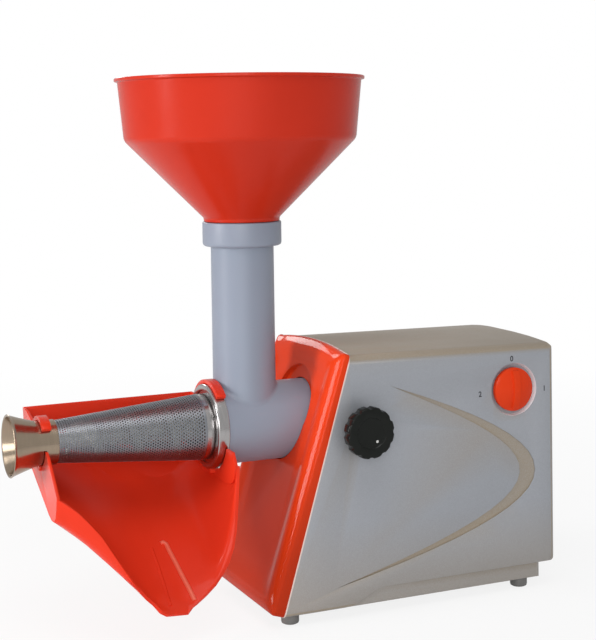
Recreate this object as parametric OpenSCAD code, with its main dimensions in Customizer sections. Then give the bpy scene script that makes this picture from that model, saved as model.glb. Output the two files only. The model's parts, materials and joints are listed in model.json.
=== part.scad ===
// Electric tomato press with a hopper, a conical sieve, a splash tray and a geared motor.
// X runs back along the press axis, Y runs across with the switch side at -Y, Z is up.
// The origin is on the table, under the middle of the overall box.

/* [Stance] */
// Height of the press axis above the table
axis_h = 148.5; // [146:0.5:165]
// Height of the rubber feet
foot_h = 8.5; // [8:0.5:12]
// Diameter of the rubber feet
foot_d = 14; // [10:1:18]

/* [Housing] */
// Width of the housing across its sides
body_w = 131; // [126:1:150]
// Distance back from the neck axis to the face seam, at the height of the press axis
seam_x = 46.4; // [45:0.2:50]
// Lean of the front face back from upright, in degrees
face_lean = 16.7; // [15:0.1:18]
// Distance back from the neck axis to the rear face
rear_x = 250; // [246:1:270]
// Height of the top's side edges above the press axis
top_z = 57.5; // [55:0.5:64]
// Fall of the top from front to rear, in degrees
top_fall = 0.9; // [0:0.1:2]
// Rise of the top from its side edges to its middle
crown = 4; // [2:0.5:8]
// Radius along the top edges
top_r = 8; // [5:0.5:10]
// Radius of the bottom edges beside the face
belly_r = 4; // [3:0.5:8]
// Radius of the two upright rear corners
rear_r = 6; // [5:0.5:12]
// Radius over the top of the rear face
rear_top_r = 16; // [10:1:20]
// Wall of the housing and of the base pan
wall = 2.5; // [2:0.1:3.2]
// Height of the plinth that shows below the rear of the sides
plinth_h = 13; // [10:0.5:16]
// Setback of the plinth from the rear face
plinth_setback = 14; // [10:1:20]
// Depth of the curved groove in each side
swoosh_depth = 1; // [0.6:0.1:1.4]
// Thickness of the red front bezel
bezel_t = 11.5; // [10:0.5:14]
// Lean of the bezel's front against the seam, which makes it thicker at the foot, in degrees
bezel_wedge = 1.4; // [0:0.1:2]
// Radius that rounds the front edge of the bezel
bezel_r = 7; // [4:0.5:8]
// Depth of the dish inside the bezel's rim
dish_depth = 3.5; // [2:0.5:5]
// Thickness of the pale trim between bezel and housing
trim_t = 1.2; // [0.8:0.1:1.6]

/* [Press body] */
// Outer radius of the barrel
barrel_r = 31.1; // [30:0.1:33]
// Inner radius of the barrel round the auger
chamber_r = 26; // [25:0.1:27]
// Outer radius of the neck
neck_r = 25; // [24:0.1:27]
// Inner radius of the neck
neck_bore_r = 21.5; // [20:0.1:22.5]
// Outer radius of the collar at the top of the neck
collar_r = 31.4; // [29:0.1:33]
// Height of the collar's top above the press axis
collar_top = 161; // [150:1:175]
// Height of the collar
collar_h = 18; // [14:1:24]
// Length of barrel left in front of the neck
barrel_rim = 0.5; // [0.3:0.1:1.5]
// Distance from the neck axis back to the rear end of the hub
hub_back = 86; // [84:1:88]

/* [Hopper] */
// Radius of the hopper's rim
rim_r = 99; // [85:1:110]
// Radius at the fold where the bowl turns into the cone
fold_r = 92; // [78:1:100]
// Height of the upright part of the bowl
bowl_h = 49; // [35:1:60]
// Height of the cone below the fold
cone_h = 62; // [50:1:75]
// Radius at the bottom of the cone
cone_r = 30.2; // [29:0.1:31]
// Wall of the hopper
hopper_wall = 2; // [1.6:0.1:2.6]

/* [Sieve and waste mouth] */
// Radius of the flange that closes the barrel
flange_r = 33.2; // [32.6:0.1:34]
// Length of the flange band in front of the barrel
flange_l = 9.5; // [8:0.5:12]
// Radius of the sieve cone at its wide end
sieve_r1 = 25.7; // [25.2:0.1:25.7]
// Radius of the sieve cone at its narrow end
sieve_r2 = 15.7; // [15.5:0.1:16]
// Length of the sieve cone
sieve_l = 118; // [112:1:124]
// Wall of the sieve cone
sieve_t = 0.8; // [0.6:0.1:0.9]
// Diameter of the sieve's holes
mesh_d = 2.6; // [2:0.1:3]
// Outer radius of the waste mouth's neck
mouth_neck_r = 17; // [16.6:0.1:17.4]
// Radius of the waste mouth's lip
mouth_r = 23.8; // [21:0.1:28]
// Length of the waste mouth
mouth_l = 31; // [28:1:40]

/* [Splash tray] */
// Wall of the splash tray
tray_t = 2.2; // [1.8:0.1:2.6]
// Half width of the splash tray at its back wall
tray_back = 50; // [46:1:54]
// Height of the back wall's top edge above the press axis
tray_top = 19; // [14:1:24]
// Depth of the gutter in the tray's lip
gutter = 2.5; // [1.5:0.5:4]

/* [Auger] */
// Clearance between the auger and what it turns in
auger_gap = 0.8; // [0.6:0.1:1.2]
// Radius of the auger's core
core_r = 10; // [8.5:0.5:11]
// Length of one turn of the auger's flight
flight_pitch = 30; // [24:1:36]

/* [Drive] */
// Distance from the press axis down to the idler axis
idler_drop = 45; // [43:0.5:47]
// Distance from the idler axis down to the motor axis
motor_drop = 36; // [34:0.5:38]
// Number of teeth on each pinion
pinion_teeth = 12; // [12:1:14]
// Number of teeth on each large gear
gear_teeth = 60; // [56:1:64]
// Radial clearance of a shaft in its bush
running_gap = 0.04; // [0.02:0.01:0.08]
// Radius of the armature
armature_r = 19.5; // [17:0.5:20]
// Length of the motor's lamination stack
stack_l = 42; // [36:1:48]

/* [Controls] */
// Distance back from the neck axis to the switch
switch_x = 210.5; // [205:0.5:214]
// Height of the switch above the press axis
switch_z = 18.5; // [14:0.5:22]
// Radius of the switch knob
knob_r = 17.75; // [15:0.25:18]
// Radius of the dish round the switch knob
knob_dish_r = 21.5; // [21:0.25:24]
// Distance back from the neck axis to the clamp knob
clamp_x = 69.5; // [68:0.5:74]
// Outer radius of the clamp knob
clamp_r = 20; // [15:0.5:22]
// Length of the clamp knob
clamp_l = 18; // [15:0.5:22]
// Flutes round the clamp knob
clamp_flutes = 12; // [8:1:16]
// Clearance between pieces that move against each other
play = 0.3; // [0.3:0.05:0.4]

/* [Hidden] */
$fn = 64;

// Heights below the press axis, at the feet and at the plinth
belly_z = -(axis_h - foot_h);
skirt_z = belly_z + plinth_h;
half_w = body_w / 2;
plinth_x = rear_x - plinth_setback;

// Lengthways places of the sieve, the mouth and the whole object
barrel_front = neck_r + barrel_rim;
flange_face = -(barrel_front + flange_l);
sieve_x1 = flange_face - 6.5;
sieve_x2 = sieve_x1 - sieve_l;
mouth_x = sieve_x2 - mouth_l;
inlet_lip = 2.4;
mid_x = (rear_x + inlet_lip + mouth_x) / 2;

// Heights of the hopper above the press axis
hopper_base = collar_top + 3;
fold_z = hopper_base + cone_h;
rim_z = fold_z + bowl_h;

// Places of the gear train
plate_t = 3.5;
socket_wall = 5.5;
socket_r = barrel_r + play;
plate_x1 = hub_back + 10;
gear_gap = 30.5;
plate_x2 = plate_x1 + plate_t + gear_gap;
module_1 = motor_drop * 2 / (pinion_teeth + gear_teeth);
module_2 = idler_drop * 2 / (pinion_teeth + gear_teeth);
out_x = plate_x1 + plate_t + 2;
out_t = 12;
idler_x = out_x + out_t + 4;
idler_t = 10;
motor_z = -(idler_drop + motor_drop);
output_r = 9;
journal_r = 5;
idler_shaft_r = 4;
hex_out = 8;
hex_idler = 5;
tang_r = 5.5;
tang_l = 16;
shank_r = 9;

// Places of the motor
frame_t = 3;
frame_x1 = plate_x2 + plate_t;
stack_x = frame_x1 + frame_t + 14;
frame_x2 = stack_x + stack_l + 30;
stator_w = 60;
bore_gap = 0.8;
arm_shaft_r = 4;
comm_r = 11;
fan_r = 24;

function seam_at(z) = seam_x + z * tan(face_lean);
function arc(cx, cy, r, a0, a1, n = 8) =
    [for (i = [0:n]) let (a = a0 + (a1 - a0) * i / n) [cx + r * cos(a), cy + r * sin(a)]];
function bezier(p, t) = pow(1 - t, 3) * p[0] + 3 * pow(1 - t, 2) * t * p[1]
    + 3 * (1 - t) * t * t * p[2] + t * t * t * p[3];

// Moves the press axis frame, whose origin is where the neck meets the barrel, to the part's frame
module placed() {
    translate([-mid_x, 0, axis_h]) children();
}

// Turns a flat shape so that it extrudes back along X
module along_x(x) {
    translate([x, 0, 0]) rotate([90, 0, 90]) children();
}

// Puts a shape on the leaning face seam, with its height pointing out of the face
module on_face() {
    translate([seam_x, 0, 0]) rotate([0, face_lean, 0]) rotate([90, 0, -90]) children();
}

// A revolved profile of [distance forward, radius] about the press axis, from its x
module turned(x) {
    translate([x, 0, 0]) rotate([0, -90, 0]) rotate_extrude($fn = 96) children();
}

// A cylinder along X that starts at x
module rod(x, l, r, z = 0, y = 0) {
    translate([x, y, z]) rotate([0, 90, 0]) cylinder(h = l, r = r);
}

// A cylinder along Y that starts at y and runs outwards, to -Y
module peg(x, y, z, l, r) {
    translate([x, y, z]) rotate([90, 0, 0]) cylinder(h = l, r = r);
}

// Cross-section of the housing, shrunk by d, with its height stretched by k, its bottom at low
// and the side edges of its top at high
function section(d, k = 1, low = belly_z, high = top_z) =
    let (h = half_w - d, tr = max(top_r - d, 1), br = max(belly_r - d, 1),
         edge = high - d,
         right = concat(arc(h - br, low + br, br, -90, 0, 6), arc(h - tr, edge - tr, tr, 0, 80, 6)),
         span = h - tr,
         top = [for (i = [1:11]) let (u = span * (1 - i / 6)) [u, edge + crown * (1 - pow(u / span, 2))]],
         left = [for (i = [len(right) - 1:-1:0]) [-right[i][0], right[i][1]]])
    [for (p = concat(right, top, left)) [p[0], p[1] * k]];

// Side outline of the housing, shrunk by d and reaching forward past the seam by ahead
function side_outline(d, ahead) =
    let (s0 = seam_at(belly_z) + 48, s1 = s0 + 40, r = 6, tr = rear_top_r, x = rear_x - d,
         high = top_z + crown + 3 - d)
    concat([[seam_at(belly_z) - ahead, belly_z]],
        [for (i = [0:10]) let (t = i / 10)
            [s0 + (s1 - s0) * t, belly_z + plinth_h * (1 - cos(180 * t)) / 2 + d]],
        arc(x - r, skirt_z + r + d, r, -90, 0, 5),
        arc(x - tr, high - tr - rear_drop, tr, 0, 85, 6),
        [[seam_at(high) - ahead, high]]);
rear_drop = (rear_x - seam_x) * tan(top_fall) + 2;

// Plan outline with rounded rear corners, ending at x
function plan_outline(x, h, r) =
    concat([[-100, -h]], arc(x - r, -h + r, r, -90, 0, 6), arc(x - r, h - r, r, 0, 90, 6), [[-100, h]]);

// The housing's cross-section drawn back along X, with a level bottom and a falling top
module section_prism(d, low) {
    ahead = 100;
    spare = 20;
    intersection() {
        along_x(-ahead) linear_extrude(rear_x + ahead + spare) polygon(section(d, 1, low, top_z + spare));
        translate([seam_at(top_z), 0, top_z]) rotate([0, top_fall, 0]) translate([-ahead, 0, -top_z])
            along_x(0) linear_extrude(rear_x + ahead + spare) polygon(section(d, 1, low - spare));
    }
}

module side_prism(points) {
    translate([0, half_w + 5, 0]) rotate([90, 0, 0]) linear_extrude(body_w + 10) polygon(points);
}

module plan_prism(x, h, r) {
    translate([0, 0, belly_z - 5]) linear_extrude(top_z - belly_z + 20) polygon(plan_outline(x, h, r));
}

module housing_block(d, ahead) {
    intersection() {
        side_prism(side_outline(d, ahead));
        section_prism(d, belly_z + (d > 0 ? -20 : 0));
        plan_prism(rear_x - d, half_w - d, max(rear_r - d, 2));
    }
}

// The base pan's outer block, which the housing's skirt fits over
pan_top = skirt_z + 6;
module pan_block(d) {
    intersection() {
        side_prism([[seam_at(belly_z + d) + d, belly_z + d], [plinth_x - d, belly_z + d],
            [plinth_x - d, pan_top + (d > 0 ? 5 : 0)],
            [seam_at(pan_top + (d > 0 ? 5 : 0)) + d, pan_top + (d > 0 ? 5 : 0)]]);
        section_prism(wall + d, belly_z + d);
        plan_prism(plinth_x - d, half_w - wall - d, max(rear_r - wall - d, 2));
    }
}

// Curved groove of each side, between an outer and an inner curve that meet at both tips
swoosh_outer = [[97, 31], [300, -40], [262, -80], [47, -123]];
swoosh_inner = [[97, 31], [250, -37], [276, -66], [47, -123]];
module swoosh() {
    n = 20;
    points = concat([for (i = [0:n]) bezier(swoosh_outer, i / n)],
        [for (i = [n - 1:-1:1]) bezier(swoosh_inner, i / n)]);
    for (side = [-1, 1])
        translate([0, side * half_w + swoosh_depth, 0]) rotate([90, 0, 0])
            linear_extrude(2 * swoosh_depth) polygon(points);
}

// Bosses inside the housing that take the base screws
boss_r = 4.5;
boss_y = half_w - max(belly_r, 2 * wall + 1) - boss_r - play;
boss_x = [seam_at(belly_z) + 26, plinth_x - 22];
module screw_bosses() {
    for (x = boss_x, side = [-1, 1]) {
        translate([x, side * boss_y, belly_z + wall]) cylinder(h = 34, r = boss_r);
        translate([x - 1.2, side > 0 ? boss_y : -half_w + wall / 2, pan_top + 1])
            cube([2.4, half_w - wall / 2 - boss_y, 34 - (pan_top + 1 - belly_z - wall)]);
    }
}

vent_w = 44;
vent_h = 2.6;
vent_n = 9;
inlet_y = 38;
inlet_z = skirt_z + 24;
inlet_r = 6;
module housing() {
    color("silver") difference() {
        union() {
            difference() {
                housing_block(0, 0);
                housing_block(wall, 30);
                pan_block(0);
            }
            peg(switch_x, -half_w + 9, switch_z, 8, knob_dish_r + 2.5);
            screw_bosses();
        }
        peg(switch_x, -half_w + 4, switch_z, 10, knob_dish_r - 1);
        translate([switch_x, -half_w + 4, switch_z]) rotate([90, 0, 0])
            cylinder(h = 4.01, r1 = knob_dish_r - 1, r2 = knob_dish_r);
        peg(switch_x, -half_w + 20, switch_z, 20, spindle_r + 1);
        peg(clamp_x, -half_w + 5, 0, 10, insert_r);
        for (i = [0:vent_n - 1])
            translate([rear_x - wall - 1, -vent_w / 2, motor_z + (i - (vent_n - 1) / 2) * 2 * vent_h])
                cube([wall + 2, vent_w, vent_h]);
        rod(rear_x - 10, 20, inlet_r, inlet_z, inlet_y);
        for (x = boss_x, side = [-1, 1])
            translate([x, side * boss_y, belly_z]) cylinder(h = 16, r = 1.6);
        swoosh();
    }
}

// Front bezel: a rounded slab on the leaning face, dished inside its rim
module face_layer(d, h, wedge = bezel_wedge) {
    rotate([-wedge, 0, 0]) translate([0, 0, h]) linear_extrude(0.02)
        polygon(section(d, 1 / cos(face_lean), belly_z + d));
}

barrel_hole_r = barrel_r + 0.6;
module front_bezel() {
    color("orangered") difference() {
        on_face() hull() {
            face_layer(0, trim_t, 0);
            for (a = [0:18:90])
                face_layer(bezel_r * (1 - cos(a)), bezel_t - bezel_r + bezel_r * sin(a));
        }
        on_face() hull() {
            face_layer(bezel_r + 3, bezel_t + 0.1);
            face_layer(bezel_r + 6, bezel_t - dish_depth * 0.6);
            face_layer(bezel_r + 14, bezel_t - dish_depth);
        }
        translate([-20, 0, 0]) rotate([0, 90, 0]) cylinder(h = 100, r = barrel_hole_r);
        on_face() translate([0, 2, bezel_t - dish_depth - 3]) cylinder(h = 20, r1 = barrel_r + 4, r2 = barrel_r + 20);
    }
}

module seam_trim() {
    k = 1 / cos(face_lean);
    color("mistyrose") on_face() linear_extrude(trim_t) difference() {
        polygon(section(-0.3, k, belly_z - 0.3));
        polygon(section(wall, k, belly_z + wall));
    }
}

module base_pan() {
    vent_l = 34;
    color("silver") difference() {
        pan_block(0);
        pan_block(wall);
        for (x = boss_x, side = [-1, 1])
            translate([x, side * boss_y, belly_z - 1]) {
                cylinder(h = 12, r = 2.2);
                cylinder(h = 2.5, r = 4);
            }
        for (i = [-4:4])
            translate([(stack_x + stack_l / 2) + i * 7, -vent_l / 2, belly_z - 1])
                cube([3, vent_l, wall + 2]);
    }
}

foot_x = [seam_at(belly_z) + 10, plinth_x - 14];
foot_y = half_w - 14;
module rubber_feet() {
    color("dimgray") for (x = foot_x, side = [-1, 1])
        translate([x, side * foot_y, -axis_h]) rotate_extrude() polygon([[0, 0],
            [foot_d / 2 - 1.5, 0], [foot_d / 2 - 0.4, 0.6], [foot_d / 2, 1.8],
            [foot_d / 2, foot_h], [0, foot_h]]);
}

module base_screws() {
    color("gainsboro") for (x = boss_x, side = [-1, 1])
        translate([x, side * boss_y, belly_z + 0.1]) difference() {
            union() {
                cylinder(h = 1.4, r = 3.6);
                cylinder(h = 14, r = 1.55);
            }
            translate([-2.5, -0.4, -0.1]) cube([5, 0.8, 0.8]);
            translate([-0.4, -2.5, -0.1]) cube([0.8, 5, 0.8]);
        }
}

module cord_inlet() {
    color("black") difference() {
        union() {
            rod(rear_x - wall - 3, wall + 3, inlet_r, inlet_z, inlet_y);
            rod(rear_x, inlet_lip, inlet_r + 2, inlet_z, inlet_y);
            rod(rear_x - wall - 3, 3, inlet_r + 1.6, inlet_z, inlet_y);
        }
        rod(rear_x - 20, 40, 3.6, inlet_z, inlet_y);
    }
}

spindle_r = 3;
block_y = -half_w + 9;
knob_base_y = -half_w + 4 - play - 0.2;
module switch_block() {
    color("dimgray") difference() {
        union() {
            translate([switch_x - 14, block_y, switch_z - 12]) cube([28, 18, 24]);
            for (x = [-9, 0, 9])
                translate([switch_x + x - 1.5, block_y + 18, switch_z - 3]) cube([3, 7, 0.8]);
        }
        peg(switch_x, block_y + 12, switch_z, 13, spindle_r + running_gap);
    }
}

module hub_socket() {
    color("darkslategray") difference() {
        union() {
            rod(seam_x - 20, plate_x1 - seam_x + 20, socket_r + socket_wall);
            rod(plate_x1 - 6, 6, socket_r + socket_wall + 8);
        }
        rod(seam_x - 30, hub_back + play - seam_x + 30, socket_r);
        rod(hub_back, 20, 20);
        on_face() translate([-100, -150, trim_t]) cube([200, 300, 60]);
        peg(clamp_x, 0, 0, 60, pad_r + play);
    }
}

pillar_r = 4;
pillar_at = [[36, 34], [36, -96], [-36, 34], [-36, -96]];
module gear_plate(x, bores) {
    color("lightsteelblue") along_x(x) linear_extrude(plate_t) difference() {
        translate([-44, -104]) square([88, 146]);
        for (b = bores) translate([0, b[0]]) circle(r = b[1]);
    }
}

bush_r = 12;
small_bush_r = 8;
module gear_plate_front() {
    gear_plate(plate_x1, [[0, bush_r], [-idler_drop, idler_shaft_r + running_gap]]);
}

module gear_plate_rear() {
    gear_plate(plate_x2, [[0, small_bush_r], [-idler_drop, idler_shaft_r + running_gap], [motor_z, 10]]);
}

module gear_pillars() {
    color("gainsboro") for (p = pillar_at) rod(plate_x1 + plate_t, gear_gap, pillar_r, p[1], p[0]);
}

module output_bushes() {
    color("peru") {
        difference() {
            union() {
                rod(plate_x1, plate_t, bush_r);
                rod(plate_x1 - 3, 3, bush_r + 3);
            }
            rod(plate_x1 - 10, 30, output_r + running_gap);
        }
        difference() {
            rod(plate_x2, plate_t, small_bush_r);
            rod(plate_x2 - 1, 10, journal_r + running_gap);
        }
    }
}

module motor_stator() {
    w = stator_w / 2;
    color("slategray") translate([stack_x, 0, motor_z]) {
        rotate([90, 0, 90]) linear_extrude(stack_l) difference() {
            polygon([[-w, -w + 8], [-w + 8, -w], [w - 8, -w], [w, -w + 8],
                [w, w - 8], [w - 8, w], [-w + 8, w], [-w, w - 8]]);
            circle(r = armature_r + bore_gap);
        }
    }
    color("chocolate") for (end = [stack_x - 8, stack_x + stack_l], side = [-1, 1])
        translate([end, -18, motor_z + side * 25 - 4]) cube([8, 36, 8]);
}

module motor_frame(x, legs_to) {
    w = stator_w / 2;
    translate([x, -w, motor_z - w]) cube([frame_t, stator_w, stator_w]);
    for (side = [-1, 1])
        translate([x, side * 22 - 5, legs_to]) cube([frame_t, 10, motor_z - w - legs_to + 1]);
}

module motor_frames() {
    w = stator_w / 2 - 5;
    floor_z = belly_z + wall;
    color("gainsboro") difference() {
        union() {
            motor_frame(frame_x1, floor_z);
            motor_frame(frame_x2, floor_z);
            for (y = [-w, w], z = [motor_z - w, motor_z + w]) {
                rod(frame_x1 + frame_t, stack_x - frame_x1 - frame_t, 3, z, y);
                rod(stack_x + stack_l, frame_x2 - stack_x - stack_l, 3, z, y);
            }
            rod(frame_x1 + frame_t, 4, 8, motor_z);
            rod(frame_x2 + frame_t, 5, 8, motor_z);
        }
        rod(frame_x1 - 1, 200, arm_shaft_r + running_gap, motor_z);
        for (a = [45:90:315])
            rod(frame_x2 - 1, frame_t + 2, 6, motor_z + 19 * sin(a), 19 * cos(a));
    }
}

brush_l = 18;
module brush_holders() {
    color("goldenrod") for (side = [-1, 1])
        translate([stack_x + stack_l, side * (comm_r + play + 7) - 7, motor_z - 5]) cube([brush_l, 14, 10]);
}

insert_r = 8;
stud_r = 4;
pad_r = 5;
insert_flange = 1.5;
module clamp_insert() {
    color("goldenrod") difference() {
        union() {
            peg(clamp_x, -half_w + 15, 0, 15, insert_r);
            peg(clamp_x, -half_w, 0, insert_flange, insert_r + 2);
        }
        peg(clamp_x, 0, 0, 90, stud_r + play);
    }
}

seal_t = 5;
chamber_back = 60;
seal_r = 14;
module press_body() {
    collar_z = collar_top - collar_h;
    color("slategray") difference() {
        union() {
            rod(-barrel_front, barrel_front + hub_back, barrel_r);
            cylinder(h = collar_top - 2, r = neck_r);
            translate([0, 0, collar_z]) rotate_extrude() polygon(concat([[0, 0]],
                arc(collar_r - 2.5, 2.5, 2.5, -90, 0, 5), arc(collar_r - 1, collar_h - 1, 1, 0, 90, 3),
                [[0, collar_h]]));
        }
        rod(-barrel_front - 1, barrel_front + chamber_back + 1, chamber_r);
        cylinder(h = collar_top + 1, r = neck_bore_r);
        translate([0, 0, collar_top - 9]) cylinder(h = 10, r = neck_r + 1);
        rod(0, hub_back + 1, shank_r + 0.1);
        rod(chamber_back - 1, seal_t + 1, seal_r);
        rod(hub_back - 8, 9, 19);
        peg(clamp_x, -barrel_r + pad_seat, 0, 10, pad_r + 1);
    }
}

module shaft_seal() {
    color("black") difference() {
        rod(chamber_back, seal_t, seal_r);
        rod(chamber_back - 1, seal_t + 2, shank_r + running_gap);
    }
}

// Flange that closes the barrel and carries the sieve
module sieve_flange() {
    hole = sieve_r1 - sieve_t - 0.4;
    color("gainsboro") turned(flange_face) polygon(concat(
        [[hole, -flange_l - 6], [chamber_r - 0.3, -flange_l - 6], [chamber_r - 0.3, -flange_l],
        [flange_r, -flange_l]], arc(flange_r - 1.5, -1.5, 1.5, 0, 90, 4),
        [[sieve_r1 + 2.5, 0], [sieve_r1 + 2.5, -1.2], [sieve_r1, -1.2], [sieve_r1, -6], [hole, -6]]));
}

// Perforated sieve cone with staggered rings of holes
mesh_rings = 10;
mesh_around = 15;
sieve_sides = 48;
module sieve_solid(r1, r2, l) {
    linear_extrude(l, scale = r2 / r1)
        polygon([for (i = [0:sieve_sides - 1]) let (a = i * 360 / sieve_sides) r1 * [cos(a), sin(a)]]);
}

module sieve_shell(r1, r2, l) {
    difference() {
        sieve_solid(r1, r2, l);
        translate([0, 0, -0.01]) sieve_solid(r1 - sieve_t, r2 - sieve_t, l + 0.02);
    }
}

module sieve_cone() {
    shoulder = 6.5;
    plain = 5;
    end_l = 4;
    pitch = (sieve_l - 2 * plain) / mesh_rings;
    color("lightgray") translate([sieve_x1, 0, 0]) rotate([0, -90, 0]) {
        translate([0, 0, -shoulder]) sieve_shell(sieve_r1, sieve_r1, shoulder);
        difference() {
            sieve_shell(sieve_r1, sieve_r2, sieve_l);
            for (i = [0:mesh_rings - 1], j = [0:mesh_around - 1])
                rotate((j + (i % 2) / 2) * 360 / mesh_around)
                    translate([0, 0, plain + (i + 0.5) * pitch]) rotate([0, 90, 0])
                        cylinder(h = sieve_r1 + 5, r = mesh_d / 2, $fn = 6);
        }
        translate([0, 0, sieve_l]) sieve_shell(sieve_r2, sieve_r2, end_l);
    }
}

// Flared outlet for skins and seeds, which slips over the narrow end of the sieve
module waste_mouth() {
    t = 1.1;
    overlap = 4;
    fit = 0.1;
    flare_from = 9.5;
    flare = [for (i = [0:8]) let (a = i / 8)
        [mouth_neck_r + (mouth_r - mouth_neck_r - 1) * pow(a, 1.2), flare_from + (mouth_l - 1 - flare_from) * a]];
    color("gainsboro") turned(sieve_x2 + overlap) polygon(concat(
        [[sieve_r_at(sieve_x2 + overlap) + fit, 0], [mouth_neck_r, 0]], [for (p = flare) [p[0], p[1] + overlap]],
        [[mouth_r, mouth_l + overlap - 0.8], [mouth_r, mouth_l + overlap]],
        [for (i = [8:-1:0]) [flare[i][0] - t, flare[i][1] + overlap + (i == 8 ? 1 : 0)]],
        [[mouth_neck_r - t, overlap], [sieve_r2 + fit, overlap]]));
}

// Splash tray: the near rim, the near foot of the floor and the back foot, each against x
tray_x1 = flange_face + 8;
band_hook_x = flange_face + 2.5;
tray_x2 = sieve_x2 - 6.5;
hook_t = 3.2;
tray_cols = [tray_x2, -160, -152, -144, -136, -128, -120, -112, -104, -97, -94, -90, -80, -74, -70,
    -66, -58, -50, -44, -39, -35, -32, -29.5, tray_x1];
rim_y = [[-166, -48], [-150, -55], [-125, -60], [-90, -66], [-74, -66], [-50, -60], [-33, -56], [-27, -50]];
rim_h = [[-166, -31], [-160, -35], [-150, -43], [-136, -60], [-125, -78], [-113, -97], [-100, -113],
    [-90, -120], [-74, -121], [-62, -116], [-50, -107], [-40, -95], [-33, -77], [-29, -46], [-27, -22]];
near_y = [[-166, -44], [-136, -53], [-113, -60], [-100, -60], [-74, -58], [-50, -53], [-33, -49], [-27, -44]];
near_h = [[-166, -54], [-136, -85], [-113, -104], [-100, -112], [-90, -115], [-74, -115], [-62, -110],
    [-50, -102], [-40, -92], [-33, -76], [-29, -52], [-27, -40]];
mid_h = [[-166, -33], [-130, -63], [-80, -82], [-40, -66], [-33, -52], [-27, -37]];
back_h = [[-166, -14], [-130, -34], [-80, -48], [-40, -46], [-27, -34]];
function tray_section(x) = [[tray_back, tray_top], [tray_back - 3, (tray_top + lookup(x, back_h)) / 2],
    [tray_back - 7, lookup(x, back_h)],
    [0, lookup(x, mid_h)],
    [lookup(x, near_y), lookup(x, near_h)], [lookup(x, rim_y), lookup(x, rim_h)]];
function cut_corners(p) = concat([p[0]], [for (i = [0:len(p) - 2]) each [0.75 * p[i] + 0.25 * p[i + 1],
    0.25 * p[i] + 0.75 * p[i + 1]]], [p[len(p) - 1]]);
function gutter_at(x, j, n) = gutter * max(0, min(1, (x + 97) / 3, (-70 - x) / 4))
    * max(0, min(1, (j - n * 0.6) / 2));
tray_grid = [for (x = tray_cols) let (s = cut_corners(cut_corners(tray_section(x))), n = len(s) - 1)
    [for (j = [0:n]) [x, s[j][0], s[j][1] - gutter_at(x, j, n)]]];
function unit(v) = v / norm(v);
function grid_normal(g, i, j) =
    let (a = g[min(i + 1, len(g) - 1)][j] - g[max(i - 1, 0)][j],
         b = g[i][min(j + 1, len(g[0]) - 1)] - g[i][max(j - 1, 0)])
    unit(cross(a, b));

tray_under = [for (i = [0:len(tray_grid) - 1]) [for (j = [0:len(tray_grid[0]) - 1])
    tray_grid[i][j] + tray_t * grid_normal(tray_grid, i, j)]];

// A sheet between two grids of points
module sheet(top, under) {
    n = len(top);
    m = len(top[0]);
    upper = [for (i = [0:n - 1], j = [0:m - 1]) top[i][j]];
    lower = [for (i = [0:n - 1], j = [0:m - 1]) under[i][j]];
    function at(i, j) = i * m + j;
    function quad(a, b, c, d) = [[a, b, c], [a, c, d]];
    faces = concat(
        [for (i = [0:n - 2], j = [0:m - 2]) each quad(at(i, j), at(i + 1, j), at(i + 1, j + 1), at(i, j + 1))],
        [for (i = [0:n - 2], j = [0:m - 2]) each quad(n * m + at(i, j), n * m + at(i, j + 1),
            n * m + at(i + 1, j + 1), n * m + at(i + 1, j))],
        [for (i = [0:n - 2]) each concat(
            quad(at(i, 0), n * m + at(i, 0), n * m + at(i + 1, 0), at(i + 1, 0)),
            quad(at(i, m - 1), at(i + 1, m - 1), n * m + at(i + 1, m - 1), n * m + at(i, m - 1)))],
        [for (j = [0:m - 2]) each concat(
            quad(at(0, j), at(0, j + 1), n * m + at(0, j + 1), n * m + at(0, j)),
            quad(at(n - 1, j), n * m + at(n - 1, j), n * m + at(n - 1, j + 1), at(n - 1, j + 1)))]);
    polyhedron(points = concat(upper, lower), faces = faces);
}

// A hook that wraps a round neck from below, behind and over the top
module tray_hook(x, l, r, a1) {
    along_x(x) linear_extrude(l) polygon(concat(arc(0, 0, r, -100, a1, 40), arc(0, 0, r + hook_t, a1, -100, 40)));
}

// An end plate whose round cut lies behind the hook's inner face
module end_plate(x, points, r) {
    along_x(x) linear_extrude(tray_t) difference() {
        polygon(points);
        circle(r = r + hook_t / 4);
    }
}

module splash_tray() {
    neck = mouth_neck_r + play;
    band = flange_r + play;
    left = [for (p = tray_under[0]) [p[1], p[2]]];
    right = [for (p = tray_under[len(tray_under) - 1]) [p[1], p[2]]];
    color("tomato") {
        sheet(tray_grid, tray_under);
        end_plate(tray_x2 - 0.8, concat(left, [[-36, -18], [-24, -7], [-12, 0], [22, 12], [40, 17]]), neck);
        end_plate(tray_x1 - 1.6, concat(right, [[-44, -13], [-24, -12], [30, 20]]), band);
        tray_hook(tray_x2 - 2, 7, neck, 140);
        tray_hook(band_hook_x, -(neck_r + play) - band_hook_x, band, 132);
    }
}

module hopper() {
    w = hopper_wall;
    spigot_r = neck_bore_r - play;
    lip = 2.5;
    color("orangered") rotate_extrude($fn = 128) polygon([
        [spigot_r - w, collar_top - 30], [spigot_r, collar_top - 30], [spigot_r, collar_top - 9 + play],
        [neck_r + 1 - play, collar_top - 9 + play], [neck_r + 1 - play, collar_top + play],
        [cone_r, collar_top + play], [cone_r, hopper_base],
        [fold_r, fold_z], [rim_r - lip, rim_z - 3], [rim_r, rim_z - 2.2], [rim_r, rim_z - 0.6],
        [rim_r - 0.6, rim_z], [rim_r - lip - w, rim_z], [fold_r - w, fold_z + 0.6],
        [cone_r - w - 1, hopper_base + 1], [spigot_r - w, hopper_base - 4]]);
}

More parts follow.
